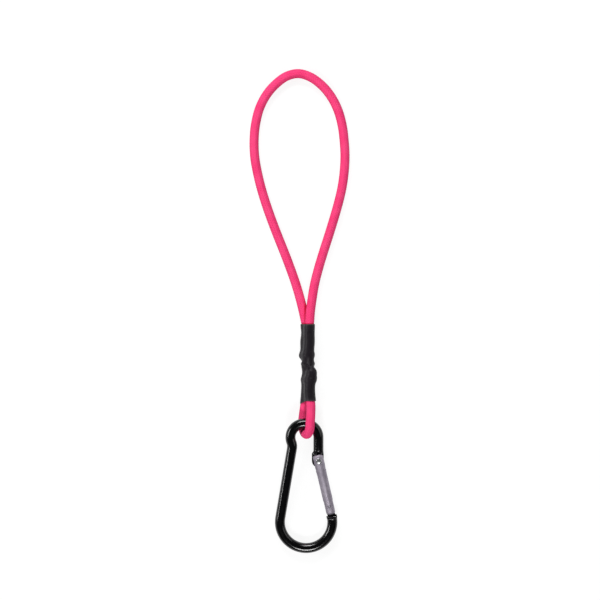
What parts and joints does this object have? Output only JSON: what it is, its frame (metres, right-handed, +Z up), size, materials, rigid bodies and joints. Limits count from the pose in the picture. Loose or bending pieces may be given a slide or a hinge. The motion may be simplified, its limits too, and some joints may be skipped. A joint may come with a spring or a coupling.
{
  "type": "bungee loop with carabiner",
  "caption": "Elastic cord loop clamped in a shrink sleeve, with a small bight that holds the eye of a gourd-shaped carabiner with a sprung round gate.",
  "frame": {"origin": "on the surface that the object lies on, under the middle of its bounding box", "axes": "+Y along the object from the carabiner to the top of the free loop, +Z up from the surface, +X to the gate's side"},
  "size_m": [0.0596, 0.2883, 0.0174],
  "materials": {
    "braid": "tight pink braid",
    "core_rubber": "natural latex strands",
    "shrink_tube": "satin charcoal",
    "black_anodised": "glossy black anodised",
    "satin_aluminium": "satin",
    "steel": "bright"
  },
  "bodies": {
    "cord_and_sleeve": {"loop_cover": "braid", "loop_core": "core_rubber", "eye_cover": "braid", "eye_core": "core_rubber", "end_cover": "braid", "end_core": "core_rubber", "crimp_ring_1": "steel", "crimp_ring_2": "steel", "shrink_sleeve": "shrink_tube"},
    "carabiner": {"carabiner_frame": "black_anodised", "hinge_rivet": "steel"},
    "gate": {"gate": "satin_aluminium", "latch_pin": "steel", "gate_spring": "steel"},
    "plunger": {"plunger": "steel"}
  },
  "joints": [
    {"name": "carabiner_swing", "type": "hinge", "parent": "cord_and_sleeve", "child": "carabiner", "pos_m": [0.00395, -0.06707, 0.0088], "axis": [0.9397, 0, -0.342], "range_deg": [-120, 120]},
    {"name": "gate_hinge", "type": "hinge", "parent": "carabiner", "child": "gate", "pos_m": [0.01125, -0.08912, 0.00708], "axis": [0, 0.0777, -0.997], "range_deg": [0, 35], "stiffness_Nm_per_rad": 0.02, "springref_deg": -20.05},
    {"name": "plunger_slide", "type": "slide", "parent": "gate", "child": "plunger", "axis": [0.2247, -0.9715, -0.0757], "range_m": [0, 0.0008], "deforming": ["gate_spring"]}
  ],
  "couplings": [
    {"joint": "plunger_slide", "follows": "gate_hinge", "m_per_rad": 0.00115}
  ]
}
